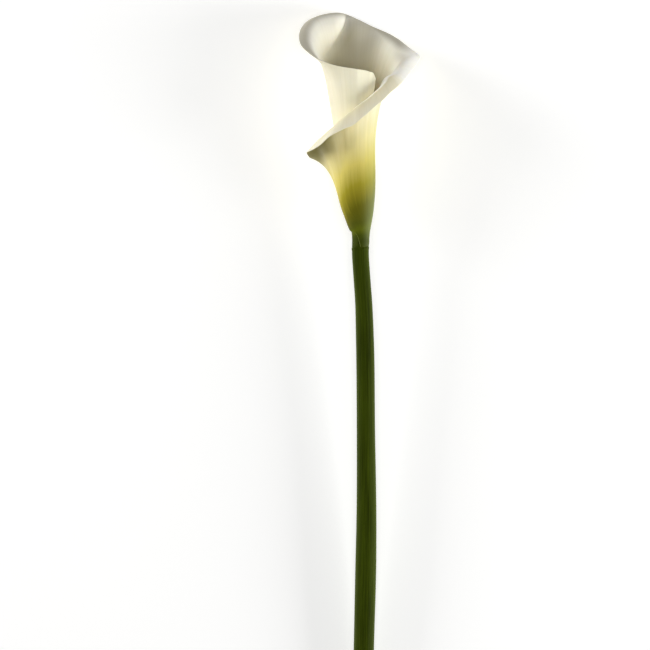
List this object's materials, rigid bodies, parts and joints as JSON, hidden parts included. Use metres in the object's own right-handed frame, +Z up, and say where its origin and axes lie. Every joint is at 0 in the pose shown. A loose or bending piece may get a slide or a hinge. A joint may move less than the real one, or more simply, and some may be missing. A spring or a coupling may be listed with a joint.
{
  "type": "calla lily flower",
  "caption": "Cut calla lily lying on its back: a white spathe rolled into a flared trumpet with an overlap in front, a yellow spadix inside it and a long round green stem.",
  "frame": {"origin": "centre of the flower's box, on the surface that the flower lies on", "axes": "+Y along the stem towards the bloom, +Z up from the surface, +X to the right seen from above"},
  "size_m": [0.091, 0.6015, 0.0619],
  "materials": {
    "stem": "satin",
    "spadix": "matte",
    "spathe": "satin"
  },
  "bodies": {
    "root": {"stem": "stem", "spadix": "spadix", "spathe": "spathe"}
  },
  "joints": []
}
